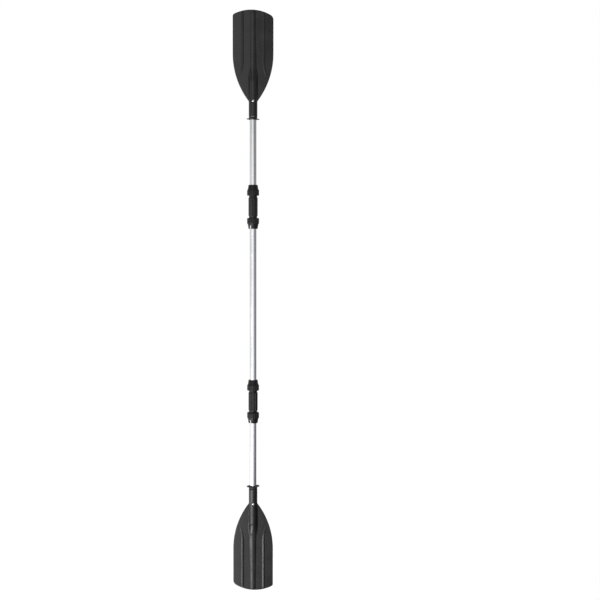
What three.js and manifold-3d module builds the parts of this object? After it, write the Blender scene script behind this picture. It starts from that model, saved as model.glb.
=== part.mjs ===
// A take-apart kayak paddle: three aluminium tubes, two screw connectors and two ribbed plastic
// blades. Millimetres, +Z up. The shaft lies on the Z axis with its middle at the origin, and the
// blades' two faces look along -Y (front) and +Y (back).

import * as THREE from 'three';
import { mergeVertices } from 'three/addons/utils/BufferGeometryUtils.js';
import Module from 'manifold-3d';

const wasm = await Module();
wasm.setup();

// ---- Driving dimensions: millimetres, degrees; heights are distances from the paddle's middle ----

const OVERALL = 2440;          // blade tip to blade tip
const TIP = OVERALL / 2;
const GAP = 0.3;               // running gap between neighbouring pieces
const ROUND = 32;              // flats round a tube, socket or ring
const ROUND_INSIDE = 24;       // flats round a piece that is mostly hidden
const WELD = 1e-4;             // vertices closer than this are one vertex
const PAST = 2;                // how far a cutter reaches past the face it cuts
const OVERLAP = 1;             // how far two bodies, or two cuts, run into each other to join

const TUBE_RADIUS = 14;
const TUBE_BORE = 12.8;
const TUBE_SEAT = TUBE_RADIUS + GAP;    // bore that a tube slides in

const CONNECTOR_AT = 409;      // height of a connector's middle
const WEB = 4;                 // wall across a connector's middle, between the two tube ends
const WEB_HOLE = 8;
const TUBE_END_CLEAR = 4.5;    // connector's middle to either tube's end

const GRIP_HALF = 38;          // half the length of the connector's hand grip
const GRIP_FLAT = 19.3;        // axis to one of the grip's flat panels
const GRIP_PANELS = 8;
const GRIP_GROOVE = 2.2;       // half width of the groove between two panels
const GROOVE_BOTTOM = 17.9;    // axis to the bottom of a groove
const GRIP_CHAMFER = 1.5;
const WAIST_RADIUS = 17.2;     // the narrow neck beside the grip

const PITCH = 4;               // thread pitch
const THREAD_START = 46.2;     // connector's middle to the threaded end
const NECK_END = 61.5;         // connector's middle to the threaded end's mouth
const MALE_ROOT = 20;
const MALE_CREST = 21.2;
const FEMALE_ROOT = 22;
const FEMALE_CREST = 20.5;
const MALE_TURNS = 2;
const FEMALE_TURNS = 1.5;
const THREAD_FLATS = 16;       // steps in one turn of thread, and flats round its wall
const FIRST_RIDGE = 48;        // connector's middle to the start of its thread's ridge
const THREAD_ROOTED = 0.6;     // how deep a thread ridge is sunk into its wall
const RIDGE_BASE = 1.15;       // half the ridge's thickness where it is sunk in
const RIDGE_TOP = 0.45;        // half the ridge's thickness at its crest

const NUT_START = 46.5;        // connector's middle to the nut's inner end
const BAND_END = 71.5;         // ... to the end of the ribbed band
const TAIL_END = 91.5;         // ... to the end of the smooth tail
const BAND_RADIUS = 25;
const BAND_VALLEY = 23.8;
const BAND_RIBS = 16;
const RIB_CREST = 0.16;        // half a rib's width at its top, as a share of the rib spacing
const RIB_FOOT = 0.3;          // ... and at its foot
const TAIL_WIDE = 22.25;
const TAIL_NARROW = 19.5;
const TAIL_ROUNDING = 2.5;
const TAIL_WALL = 2.3;
const SEAT_LIP = 1.6;          // thickness of the ring between the nut's cone and its hollow tail
const NOTCH_WIDTH = 10;        // the open notch in the nut's tail
const NOTCH_LENGTH = 15.5;
const NOTCH_AZIMUTH = 130;     // the notch's direction on the outer nut, measured from +X about +Z

const COLLET_START = 54.2;     // split ring that the nut wedges between the two cones
const COLLET_BELT = [62.2, 67];
const COLLET_CONE_END = 75.6;
const COLLET_END = 90;         // end of the thin sleeve that shows in the nut's notch
const COLLET_TOE = 15.4;       // radius at the thin start and along the sleeve
const COLLET_WIDE = 18.3;
const COLLET_SLIT = 2.5;

const SHAFT_END = 926;         // end of an outer tube, inside the blade's socket
const PLUG_RADIUS = TUBE_BORE - GAP;
const PLUG_LENGTH = 14;
const PLUG_CHAMFER = 1;
const PLUG_FLANGE = 13.5;
const PLUG_FLANGE_THICK = 1.5;

const NECK_OUTER = 18;         // the blade's socket
const NECK_START = 782;
const SOCKET_END = SHAFT_END + 1.5;
const BULGE_FALL = [[NECK_OUTER, 926], [16.4, 941], [12.7, 954], [9, 966], [6, 976]];
const MOUTH_EASE = 0.8;        // rounding of the socket's outer edge
const BLADE_START = 846;       // where the blade leaves the neck
const BLADE_SQUARE = 1040;     // above here the blade's sides are parallel
const BLADE_HALF_WIDTH = 84.25;
const BLADE_SIDE_RADIUS = 320;
const CROWN_RADIUS = 160;      // the blade's curved end
const CROWN_OFFSET = -8;       // how far the crown's highest point lies from the shaft's line
const LEADING_CORNER = 12;     // radius of the corner on the crown's high side
const TRAILING_CORNER = 25;
const BLADE_THICK = 5;
const BLADE_EDGE = 1.5;        // bevel round the blade's rim
const RIDGE_RISE = 4;          // how far the middle ridge stands above the blade's face
const RIDGE_BEVEL = 3;
const RIDGE_TIP_GAP = 7;
const RIDGE_HALF_WIDTHS = [[19.5, 932], [17, 1000], [13, 1064], [11.5, 1129], [11, TIP - RIDGE_TIP_GAP]];
const RIB_OFFSET = 45.3;       // shaft's line to an outer rib
const RIB_WIDTH = 7.5;
const RIB_RISE = 1.8;
const RIB_BEVEL = 1.5;
const RIB_BEND = 1000;         // where an outer rib starts to sweep outwards
const RIB_START = 946;         // ... and its foot, close to the blade's side
const RIB_SWEEP = 12;
const RIB_INNER_PULL = 20;     // how far above its foot the rib's sweep starts to straighten
const RIB_OUTER_PULL = 30;

const BUTTON_AT = 845;
const BUTTON_RADIUS = 4.6;
const BUTTON_FLATS = 16;
const BUTTON_TOP = 19.2;       // shaft's line to the button's crown
const BUTTON_CROWN = [[1, 1.5], [0.8, 0.6], [0.4, 0.1], [0, 0]];  // shares of its radius, depths
const BUTTON_FOOT = [10.2, 11.2];
const BUTTON_FOOT_RADIUS = 5.6;
const BUTTON_SEAT = 16.8;      // shaft's line to the flat round the button
const BUTTON_SEAT_RADIUS = 8.5;

const SPRING_THICK = 0.7;
const SPRING_WIDTH = 7;
const SPRING_ARM = 9.9;        // shaft's line to the outside of a spring arm's free end
const SPRING_FREE_END = 834;
const SPRING_BEND = 886;
const SPRING_BEND_RADIUS = 3;

const RING_AT = 771;           // the rubber drip ring's flange
const RING_RADIUS = 27.25;
const RING_HUB = 17.6;
const RING_HUB_START = RING_AT - 2.2;
const RING_HUB_END = NECK_START - 1;
const RING_LIP = 1;            // half the flange's thickness at its edge
const RING_ROOT = 1.5;         // half the flange's thickness at the hub
const RING_CUP = 0.8;          // how far the flange's edge is dished towards the blade

// ---- Materials ----

const metal = (color, roughness) => new THREE.MeshStandardMaterial({ color, roughness, metalness: 1 });
const plastic = (color, roughness) => new THREE.MeshStandardMaterial({ color, roughness, metalness: 0 });

const finishes = {
  tube: () => metal(0xd4d6d8, 0.35),
  plug: () => plastic(0x8e9194, 0.6),
  grip: () => plastic(0x262729, 0.5),
  nut: () => plastic(0x202123, 0.45),
  collet: () => plastic(0xcfcfca, 0.5),
  blade: () => plastic(0x303134, 0.45),
  ring: () => plastic(0x1c1c1e, 0.75),
  button: () => metal(0xdedfe0, 0.2),
  spring: () => metal(0xa8aaac, 0.35),
};

// ---- Solids ----

const radians = THREE.MathUtils.degToRad;

// A closed three.js geometry as a solid that can be joined and cut.
function solid(geometry) {
  geometry.deleteAttribute('normal');
  geometry.deleteAttribute('uv');
  const welded = mergeVertices(geometry, WELD);
  const index = welded.index.array;
  const triangles = [];
  for (let i = 0; i < index.length; i += 3) {
    const [a, b, c] = index.slice(i, i + 3);
    const collapsed = a === b || b === c || c === a;
    if (!collapsed) triangles.push(a, b, c);
  }
  const vertProperties = new Float32Array(welded.attributes.position.array);
  const triVerts = new Uint32Array(triangles);
  return new wasm.Manifold(new wasm.Mesh({ numProp: 3, vertProperties, triVerts }));
}

// A solid turned back into a geometry.
function geometryOf(body) {
  const { vertProperties, triVerts } = body.getMesh();
  const geometry = new THREE.BufferGeometry();
  geometry.setAttribute('position', new THREE.BufferAttribute(vertProperties, 3));
  geometry.setIndex(new THREE.BufferAttribute(triVerts, 1));
  geometry.computeVertexNormals();
  return geometry;
}

// A closed profile of [radius, height] points, counter-clockwise, turned about the Z axis.
function turned(profile, flats = ROUND) {
  const points = profile.map(([radius, height]) => new THREE.Vector2(radius, height));
  const onAxis = points[0].x === 0 && points[points.length - 1].x === 0;
  if (!onAxis) points.push(points[0].clone());
  return solid(new THREE.LatheGeometry(points, flats).rotateX(Math.PI / 2));
}

function cylinder(radius, from, to, flats = ROUND) {
  return turned([[0, from], [radius, from], [radius, to], [0, to]], flats);
}

// A shape drawn in the XY plane and raised from one height to another, with its ends bevelled.
function prism(shape, from, to, bevel = 0, curveSegments = 4) {
  const depth = to - from - 2 * bevel;
  const options = {
    depth, curveSegments, bevelEnabled: bevel > 0, bevelThickness: bevel, bevelSize: bevel,
    bevelOffset: -bevel, bevelSegments: 1,
  };
  return new THREE.ExtrudeGeometry(shape, options).translate(0, 0, from + bevel);
}

// A shape drawn across the blade (x) and along the shaft (z), thickened equally to front and back.
function slab(shape, thickness, bevel) {
  return solid(prism(shape, -thickness / 2, thickness / 2, bevel).rotateX(Math.PI / 2));
}

// A round bar that points out of the front (-Y) between two distances from the shaft's line.
function frontBar(radius, near, far, height) {
  const bar = new THREE.CylinderGeometry(radius, radius, far - near, BUTTON_FLATS);
  return solid(bar.translate(0, -(near + far) / 2, height));
}

// A helical ridge: a straight bar with the ridge's section (x along the screw, y out from its
// axis) wound round the Z axis.
function wound(section, start, turns) {
  const sweep = turns * 2 * Math.PI;
  const bar = new THREE.ExtrudeGeometry(section, {
    depth: sweep, steps: Math.round(turns * THREAD_FLATS), bevelEnabled: false,
  });
  const place = bar.attributes.position;
  for (let i = 0; i < place.count; i += 1) {
    const along = place.getX(i);
    const radius = place.getY(i);
    const angle = place.getZ(i);
    const height = start + along + PITCH * angle / (2 * Math.PI);
    place.setXYZ(i, radius * Math.cos(angle), radius * Math.sin(angle), height);
  }
  return solid(bar);
}

function ridgeSection(base, crest) {
  return new THREE.Shape([
    new THREE.Vector2(-RIDGE_BASE, base),
    new THREE.Vector2(RIDGE_BASE, base),
    new THREE.Vector2(RIDGE_TOP, crest),
    new THREE.Vector2(-RIDGE_TOP, crest),
  ]);
}

// ---- Tubes and their end plugs ----

function tube(from, to) {
  return turned([[TUBE_BORE, from], [TUBE_RADIUS, from], [TUBE_RADIUS, to], [TUBE_BORE, to]]);
}

// A bung whose flange covers the tube's end at height 0; its body reaches up into the tube.
function plug() {
  const flange = -GAP - PLUG_FLANGE_THICK;
  return turned([
    [0, flange], [PLUG_FLANGE, flange], [PLUG_FLANGE, -GAP], [PLUG_RADIUS, -GAP],
    [PLUG_RADIUS, PLUG_LENGTH - PLUG_CHAMFER], [PLUG_RADIUS - PLUG_CHAMFER, PLUG_LENGTH],
    [0, PLUG_LENGTH],
  ], ROUND_INSIDE);
}

// ---- Connector: fluted grip with a threaded neck at each end ----

function gripOutline() {
  const half = Math.PI / GRIP_PANELS;
  const flatHalf = GRIP_FLAT * Math.tan(half) - GRIP_GROOVE / Math.cos(half);
  const outline = new THREE.Shape();
  for (let panel = 0; panel < GRIP_PANELS; panel += 1) {
    const facing = 2 * half * panel;
    const out = new THREE.Vector2(Math.cos(facing), Math.sin(facing));
    const side = new THREE.Vector2(-out.y, out.x);
    const start = out.clone().multiplyScalar(GRIP_FLAT).addScaledVector(side, -flatHalf);
    const end = out.clone().multiplyScalar(GRIP_FLAT).addScaledVector(side, flatHalf);
    const groove = facing + half;
    if (panel === 0) outline.moveTo(start.x, start.y);
    else outline.lineTo(start.x, start.y);
    outline.lineTo(end.x, end.y);
    outline.lineTo(GROOVE_BOTTOM * Math.cos(groove), GROOVE_BOTTOM * Math.sin(groove));
  }
  return outline;
}

function threadedNeck() {
  const waist = cylinder(WAIST_RADIUS, 0, THREAD_START + OVERLAP, ROUND_INSIDE);
  const core = cylinder(MALE_ROOT, THREAD_START, NECK_END, THREAD_FLATS);
  const ridge = ridgeSection(MALE_ROOT - THREAD_ROOTED, MALE_CREST);
  return waist.add(core).add(wound(ridge, FIRST_RIDGE, MALE_TURNS));
}

// Everything cut out of one end of the connector: the tube's seat and the cone for the collet.
function seatAndMouth() {
  const slope = (COLLET_WIDE - COLLET_TOE) / (COLLET_BELT[0] - COLLET_START);
  const mouth = COLLET_WIDE + GAP;
  const rise = (mouth - TUBE_SEAT) / slope;
  return turned([
    [0, WEB / 2], [TUBE_SEAT, WEB / 2], [TUBE_SEAT, NECK_END - rise],
    [mouth, NECK_END], [mouth, NECK_END + PAST], [0, NECK_END + PAST],
  ], ROUND_INSIDE);
}

function connector() {
  const grip = solid(prism(gripOutline(), -GRIP_HALF, GRIP_HALF, GRIP_CHAMFER));
  const neck = threadedNeck();
  const cut = seatAndMouth();
  return grip
    .add(neck).add(neck.rotate([180, 0, 0]))
    .subtract(cut).subtract(cut.rotate([180, 0, 0]))
    .subtract(cylinder(WEB_HOLE, -WEB, WEB, BUTTON_FLATS));
}

// ---- Nut: ribbed band, smooth tail with one open notch, threaded inside ----

function bandOutline() {
  const outline = new THREE.Shape();
  const share = 2 * Math.PI / BAND_RIBS;
  const corners = [
    [-RIB_FOOT, BAND_VALLEY], [-RIB_CREST, BAND_RADIUS],
    [RIB_CREST, BAND_RADIUS], [RIB_FOOT, BAND_VALLEY],
  ];
  for (let rib = 0; rib < BAND_RIBS; rib += 1) {
    for (const [part, radius] of corners) {
      const angle = (rib + part) * share;
      const point = [radius * Math.cos(angle), radius * Math.sin(angle)];
      if (rib === 0 && part === corners[0][0]) outline.moveTo(...point);
      else outline.lineTo(...point);
    }
  }
  return outline;
}

function nutCavity() {
  const threaded = cylinder(FEMALE_ROOT, NUT_START - OVERLAP, NECK_END + OVERLAP, THREAD_FLATS);
  const coneWide = COLLET_WIDE + GAP;
  const coneNarrow = COLLET_TOE + GAP;
  const tailStart = COLLET_CONE_END + SEAT_LIP;
  const beyond = turned([
    [0, NECK_END], [coneWide, NECK_END], [coneWide, COLLET_BELT[1]], [coneNarrow, COLLET_CONE_END],
    [coneNarrow, tailStart], [TAIL_WIDE - TAIL_WALL, tailStart],
    [TAIL_NARROW - TAIL_WALL, TAIL_END], [TAIL_NARROW - TAIL_WALL, TAIL_END + PAST],
    [0, TAIL_END + PAST],
  ], ROUND_INSIDE);
  return threaded.add(beyond);
}

function nutTail() {
  const bend = TAIL_END - TAIL_ROUNDING;
  const corner = [45, 90].map((degrees) => [
    TAIL_NARROW - TAIL_ROUNDING * (1 - Math.cos(radians(degrees))),
    bend + TAIL_ROUNDING * Math.sin(radians(degrees)),
  ]);
  return turned([
    [0, BAND_END - OVERLAP], [TAIL_WIDE, BAND_END - OVERLAP], [TAIL_WIDE, BAND_END],
    [TAIL_NARROW, bend], ...corner, [0, TAIL_END],
  ]);
}

function notch() {
  const length = NOTCH_LENGTH + PAST;
  const reach = TAIL_WIDE + PAST;
  const box = new THREE.BoxGeometry(reach, NOTCH_WIDTH, length);
  box.translate(reach / 2, 0, TAIL_END - NOTCH_LENGTH + length / 2);
  return solid(box.rotateZ(radians(NOTCH_AZIMUTH)));
}

function nut() {
  const band = solid(prism(bandOutline(), NUT_START, BAND_END));
  const ridge = flipped(ridgeSection(FEMALE_ROOT + THREAD_ROOTED, FEMALE_CREST));
  return band.add(nutTail())
    .subtract(nutCavity())
    .add(wound(ridge, FIRST_RIDGE + PITCH / 2, FEMALE_TURNS))
    .subtract(notch());
}

// The same section walked the other way round, so that a ridge that points inwards is still solid.
function flipped(section) {
  return new THREE.Shape(section.getPoints().reverse());
}

// ---- Collet: split ring with a cone at each end ----

function collet() {
  const ring = turned([
    [TUBE_SEAT, COLLET_START], [COLLET_TOE, COLLET_START], [COLLET_WIDE, COLLET_BELT[0]],
    [COLLET_WIDE, COLLET_BELT[1]], [COLLET_TOE, COLLET_CONE_END], [COLLET_TOE, COLLET_END],
    [TUBE_SEAT, COLLET_END],
  ], ROUND_INSIDE);
  const length = COLLET_END - COLLET_START + PAST;
  const reach = COLLET_WIDE + PAST;
  const slit = new THREE.BoxGeometry(reach, COLLET_SLIT, length);
  slit.translate(reach / 2, 0, (COLLET_START + COLLET_END) / 2);
  return ring.subtract(solid(slit.rotateZ(radians(NOTCH_AZIMUTH + 180))));
}

// ---- Blade: ribbed paddle with a round socket ----

// The corner between a straight side and the crown: its centre, and the angle where it meets the
// crown.
function corner(side, radius) {
  const crownBase = TIP - CROWN_RADIUS;
  const x = side * (BLADE_HALF_WIDTH - radius);
  const across = x - CROWN_OFFSET;
  const up = Math.sqrt((CROWN_RADIUS - radius) ** 2 - across ** 2);
  return { x, z: crownBase + up, radius, angle: Math.atan2(up, across) };
}

function bladeOutline() {
  const sideCentre = BLADE_HALF_WIDTH - BLADE_SIDE_RADIUS;
  const flare = Math.asin((BLADE_SQUARE - BLADE_START) / BLADE_SIDE_RADIUS);
  const right = corner(1, TRAILING_CORNER);
  const left = corner(-1, LEADING_CORNER);
  const outline = new THREE.Shape();
  outline.absarc(sideCentre, BLADE_SQUARE, BLADE_SIDE_RADIUS, -flare, 0);
  outline.absarc(right.x, right.z, right.radius, 0, right.angle);
  outline.absarc(CROWN_OFFSET, TIP - CROWN_RADIUS, CROWN_RADIUS, right.angle, left.angle);
  outline.absarc(left.x, left.z, left.radius, left.angle, Math.PI);
  outline.absarc(-sideCentre, BLADE_SQUARE, BLADE_SIDE_RADIUS, Math.PI, Math.PI + flare);
  return outline;
}

// The middle ridge, which narrows from the socket's bulge to the tip.
function ridgeOutline() {
  const right = RIDGE_HALF_WIDTHS.map(([x, z]) => new THREE.Vector2(x, z));
  const left = RIDGE_HALF_WIDTHS.map(([x, z]) => new THREE.Vector2(-x, z)).reverse();
  return new THREE.Shape([...right, ...left]);
}

// An outer rib: straight along the blade, then swept outwards to the side where it dies away.
function ribOutline(side) {
  const crown = TIP - CROWN_RADIUS;
  const reach = Math.sqrt(CROWN_RADIUS ** 2 - (side * RIB_OFFSET - CROWN_OFFSET) ** 2);
  const top = crown + reach - RIB_WIDTH;
  const inner = RIB_OFFSET - RIB_WIDTH / 2;
  const outer = RIB_OFFSET + RIB_WIDTH / 2;
  const outline = new THREE.Shape();
  outline.moveTo(side * inner, top);
  outline.lineTo(side * inner, RIB_BEND);
  outline.quadraticCurveTo(side * inner, RIB_START + RIB_INNER_PULL, side * (inner + RIB_SWEEP), RIB_START);
  outline.quadraticCurveTo(side * outer, RIB_START + RIB_OUTER_PULL, side * outer, RIB_BEND);
  outline.lineTo(side * outer, top);
  return outline;
}

// The round bulge over the tube. Past the tube it falls away into the middle ridge.
function socketBulge() {
  const [, bulgeEnd] = BULGE_FALL.at(-1);
  return turned([
    [0, NECK_START], [NECK_OUTER - MOUTH_EASE, NECK_START], [NECK_OUTER, NECK_START + MOUTH_EASE],
    ...BULGE_FALL, [0, bulgeEnd],
  ]);
}

function blade() {
  const bore = cylinder(TUBE_SEAT, NECK_START - PAST, SOCKET_END);
  return slab(bladeOutline(), BLADE_THICK, BLADE_EDGE)
    .add(slab(ridgeOutline(), BLADE_THICK + 2 * RIDGE_RISE, RIDGE_BEVEL))
    .add(slab(ribOutline(1), BLADE_THICK + 2 * RIB_RISE, RIB_BEVEL))
    .add(slab(ribOutline(-1), BLADE_THICK + 2 * RIB_RISE, RIB_BEVEL))
    .add(socketBulge())
    .subtract(bore)
    .subtract(frontBar(BUTTON_SEAT_RADIUS, BUTTON_SEAT, NECK_OUTER + PAST, BUTTON_AT))
    .subtract(frontBar(BUTTON_RADIUS + GAP, 0, BUTTON_TOP, BUTTON_AT));
}

// ---- Outer tube, snap button and spring, drip ring ----

function shaftTube() {
  const hole = frontBar(BUTTON_RADIUS + GAP, 0, BUTTON_TOP, BUTTON_AT);
  return tube(CONNECTOR_AT + TUBE_END_CLEAR, SHAFT_END).subtract(hole);
}

// The button points out of the front; its foot lies inside the tube, on the spring.
function snapButton() {
  const crown = BUTTON_CROWN.map(([share, depth]) => [share * BUTTON_RADIUS, BUTTON_TOP - depth]);
  const [foot, shoulder] = BUTTON_FOOT;
  const upright = turned([
    [0, foot], [BUTTON_FOOT_RADIUS, foot], [BUTTON_FOOT_RADIUS, shoulder], [BUTTON_RADIUS, shoulder],
    ...crown,
  ], BUTTON_FLATS);
  return upright.rotate([90, 0, 0]).translate([0, 0, BUTTON_AT]);
}

// A V of spring strip seen from the side: y across the tube, z along it, bend at the far end.
function buttonSpring() {
  const bend = SPRING_BEND_RADIUS;
  const outer = new THREE.Shape();
  outer.moveTo(SPRING_ARM, SPRING_FREE_END);
  outer.lineTo(bend, SPRING_BEND);
  outer.absarc(0, SPRING_BEND, bend, 0, Math.PI);
  outer.lineTo(-SPRING_ARM, SPRING_FREE_END);
  outer.lineTo(SPRING_THICK - SPRING_ARM, SPRING_FREE_END);
  outer.lineTo(SPRING_THICK - bend, SPRING_BEND);
  outer.absarc(0, SPRING_BEND, bend - SPRING_THICK, Math.PI, 0, true);
  outer.lineTo(SPRING_ARM - SPRING_THICK, SPRING_FREE_END);
  const strip = prism(outer, -SPRING_WIDTH / 2, SPRING_WIDTH / 2);
  return solid(strip.rotateX(Math.PI / 2).rotateZ(Math.PI / 2));
}

function dripRing() {
  const bore = TUBE_SEAT;
  const rim = RING_AT + RING_CUP;
  return turned([
    [bore, RING_HUB_START], [RING_HUB, RING_HUB_START],
    [RING_HUB, RING_AT - RING_ROOT], [RING_RADIUS, rim - RING_LIP], [RING_RADIUS, rim + RING_LIP],
    [RING_HUB, RING_AT + RING_ROOT], [RING_HUB, RING_HUB_END],
    [bore, RING_HUB_END],
  ]);
}

// ---- Assembly ----

function piece(name, body, finish) {
  const mesh = new THREE.Mesh(geometryOf(body), finishes[finish]());
  mesh.name = name;
  return mesh;
}

// A nut and its collet on one end of a connector. Screwing the nut on by some degrees also moves
// it along its thread, and the collet with it.
function screwEnd(name, screwedOff) {
  const end = new THREE.Group();
  const ring = piece(`collet_${name}`, collet(), 'collet');
  const cap = piece(`nut_${name}`, nut(), 'nut');
  cap.rotation.z = radians(screwedOff);
  end.position.z = PITCH * screwedOff / 360;
  end.add(ring, cap);
  return end;
}

// turn is the connector's own turn about the shaft. Its nuts are screwed back by the same angle,
// so every notch faces the same way.
function connectorGroup(name, height, turn) {
  const group = new THREE.Group();
  const inner = new THREE.Group();
  inner.rotation.x = Math.PI;
  inner.add(screwEnd(`${name}_low`, turn));
  group.add(piece(`connector_${name}`, connector(), 'grip'));
  group.add(screwEnd(`${name}_high`, -turn));
  group.add(inner);
  group.rotation.z = radians(turn);
  group.position.z = height;
  return group;
}

// One end of the paddle, drawn pointing up: outer tube, plug, blade, button, spring, drip ring.
function paddleEnd(name) {
  const group = new THREE.Group();
  const bung = piece(`shaft_plug_${name}`, plug(), 'plug');
  bung.position.z = CONNECTOR_AT + TUBE_END_CLEAR;
  group.add(
    piece(`shaft_tube_${name}`, shaftTube(), 'tube'),
    bung,
    piece(`blade_${name}`, blade(), 'blade'),
    piece(`snap_button_${name}`, snapButton(), 'button'),
    piece(`button_spring_${name}`, buttonSpring(), 'spring'),
    piece(`drip_ring_${name}`, dripRing(), 'ring'),
  );
  return group;
}

function centreShaft() {
  const group = new THREE.Group();
  const end = CONNECTOR_AT - TUBE_END_CLEAR;
  group.add(piece('center_tube', tube(-end, end), 'tube'));
  for (const [name, side] of [['upper', 1], ['lower', -1]]) {
    const bung = piece(`center_plug_${name}`, plug(), 'plug');
    bung.position.z = side * end;
    if (side > 0) bung.rotation.x = Math.PI;
    group.add(bung);
  }
  return group;
}

const paddle = new THREE.Group();
const upperEnd = paddleEnd('upper');
const lowerEnd = paddleEnd('lower');
lowerEnd.rotation.y = Math.PI;
const HALF_PANEL = 180 / GRIP_PANELS;
paddle.add(
  centreShaft(),
  connectorGroup('upper', CONNECTOR_AT, HALF_PANEL),
  connectorGroup('lower', -CONNECTOR_AT, 0),
  upperEnd,
  lowerEnd,
);

export default paddle;
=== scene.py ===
"""A take-apart kayak paddle: aluminium tubes, screw connectors and ribbed plastic blades.

The shaft stands on the Z axis. Lengths in this script are millimetres until a mesh is made or
placed, which is in metres. One end of the paddle is drawn pointing up and used for both, so heights
are distances from the paddle's middle. The connector, its nuts and its collets are drawn with
heights from the connector's middle instead, and the plug with heights from the tube's end.
"""
import math

import bmesh
import bpy
import numpy as np
from mathutils import Matrix, Vector


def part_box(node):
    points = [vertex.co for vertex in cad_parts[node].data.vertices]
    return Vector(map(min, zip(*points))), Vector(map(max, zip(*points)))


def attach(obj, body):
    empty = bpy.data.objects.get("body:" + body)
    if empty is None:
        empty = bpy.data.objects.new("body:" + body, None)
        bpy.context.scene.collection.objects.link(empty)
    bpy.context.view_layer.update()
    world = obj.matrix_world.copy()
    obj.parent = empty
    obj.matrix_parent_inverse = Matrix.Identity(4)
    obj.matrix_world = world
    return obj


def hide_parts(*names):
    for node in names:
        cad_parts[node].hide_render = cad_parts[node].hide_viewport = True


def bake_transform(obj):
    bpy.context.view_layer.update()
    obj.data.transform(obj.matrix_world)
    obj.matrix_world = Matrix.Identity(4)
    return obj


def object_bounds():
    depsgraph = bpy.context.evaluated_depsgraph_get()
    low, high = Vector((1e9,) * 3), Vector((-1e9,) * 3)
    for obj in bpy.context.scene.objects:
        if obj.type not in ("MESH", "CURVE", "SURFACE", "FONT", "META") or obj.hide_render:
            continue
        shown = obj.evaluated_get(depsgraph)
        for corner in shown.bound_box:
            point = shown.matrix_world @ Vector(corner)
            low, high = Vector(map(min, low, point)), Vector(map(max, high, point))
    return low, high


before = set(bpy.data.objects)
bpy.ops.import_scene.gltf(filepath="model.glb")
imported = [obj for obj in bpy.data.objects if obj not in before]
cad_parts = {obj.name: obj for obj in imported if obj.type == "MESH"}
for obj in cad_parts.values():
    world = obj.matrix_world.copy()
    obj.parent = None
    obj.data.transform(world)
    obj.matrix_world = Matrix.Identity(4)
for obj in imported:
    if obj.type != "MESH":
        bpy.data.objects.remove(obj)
cad_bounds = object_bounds()

MM = 0.001
UP, DOWN = "upper", "lower"


# ---- Sizes read from the frame -------------------------------------------------------------------

def box_mm(node):
    low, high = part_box(node)
    return [v / MM for v in low], [v / MM for v in high]


TUBE_RADIUS = box_mm("center_tube")[1][0]
CENTRE_TUBE_END = box_mm("center_tube")[1][2]
OUTER_TUBE = [box_mm("shaft_tube_upper")[i][2] for i in (0, 1)]
CONNECTOR_LOW, CONNECTOR_HIGH = [box_mm("connector_upper")[i][2] for i in (0, 1)]
CONNECTOR_AT = (CONNECTOR_LOW + CONNECTOR_HIGH) / 2
NECK_END = CONNECTOR_HIGH - CONNECTOR_AT
SOCKET_MOUTH, TIP = [box_mm("blade_upper")[i][2] for i in (0, 1)]
HALF_WIDTH = box_mm("blade_upper")[1][0]
BUTTON_AT = sum(box_mm("snap_button_upper")[i][2] for i in (0, 1)) / 2
BUTTON_CROWN = -box_mm("snap_button_upper")[0][1]
SPRING_FREE_END, SPRING_TOP = [box_mm("button_spring_upper")[i][2] for i in (0, 1)]
SPRING_HALF_WIDTH, SPRING_ARM = box_mm("button_spring_upper")[1][:2]
RING_LOW, RING_HIGH = [box_mm("drip_ring_upper")[i][2] for i in (0, 1)]
RING_RADIUS = box_mm("drip_ring_upper")[1][0]

# ---- Other sizes ---------------------------------------------------------------------------------

TUBE_BORE = 12.8
SEAT = TUBE_RADIUS + 0.3

GRIP_HALF = 38
GRIP_FLAT = 19.3
GRIP_PANELS = 8
GRIP_CHAMFER = 1.5
GROOVE_DEPTH = 3.2
GROOVE_HALF = 3.3
WAIST = 17.2
WEB_HALF = 2
WEB_HOLE = 8

PITCH = 4
THREAD_START = 46.2
MALE_ROOT, MALE_CREST = 20, 21.2
FEMALE_ROOT, FEMALE_CREST = 22, 20.5
MALE_TURNS, FEMALE_TURNS = 2, 1.5
FIRST_RIDGE = 48
RIDGE_BASE, RIDGE_TOP = 1.15, 0.45          # half widths of a thread's ridge
THREAD_STEP = 0.22                          # between two rows of a threaded surface

NUT_START, BAND_END, TAIL_END = 46.5, 71.5, 91.5
BAND_RADIUS, BAND_VALLEY, BAND_RIBS = 25, 23.7, 16
TAIL_WIDE, TAIL_NARROW, TAIL_WALL = 22.25, 19.5, 2.3
NOTCH_WIDTH, NOTCH_LENGTH, NOTCH_AZIMUTH = 10, 15.5, 130

COLLET_START, COLLET_CONE_END, COLLET_END = 54.2, 75.6, 90
COLLET_BELT = (62.2, 67)
COLLET_TOE, COLLET_WIDE, COLLET_SLIT = 15.4, 18.3, 2.5
CONE_GAP = 0.3
SEAT_LIP = 1.6

NECK_RADIUS = 18
SOCKET_END = 927.5
BULGE_FALLS, BULGE_GONE = 926, 1004
DRAFT_GROWS, RIDGE_GROWS = (850, 876), (840, 900)
ROUND_TO_FLAT = 852, 890        # heights over which the mesh's columns change to a flat spread
BULGE_DRAFT_FROM = 15.5         # further than this from the middle the bulge's sides are straight
BLADE_SQUARE = 1040             # above here the blade's sides are parallel
NECK_GONE = 890                 # below here the neck sets the outline
SIDE_RADIUS = 320
CROWN_RADIUS, CROWN_OFFSET = 160, -8
LEADING_CORNER, TRAILING_CORNER = 12, 25
PLATE_EDGE, PLATE_MIDDLE, PLATE_FALL = 1.3, 3.7, 2.0
RIM_ROUNDING = 3.0
RIDGE_RISE = 3.8
RIDGE_CREST_HALF, RIDGE_CREST_RADIUS = 7.5, 28
RIDGE_ENDS = 3, 13              # distances from the outline between which the ridge rises
RIDGE_FEET = ((932, 19.6), (1000, 17), (1064, 13.5), (1129, 12), (1213, 11.5))
RIB_OFFSET, RIB_RISE = 45.6, 1.6
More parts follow.
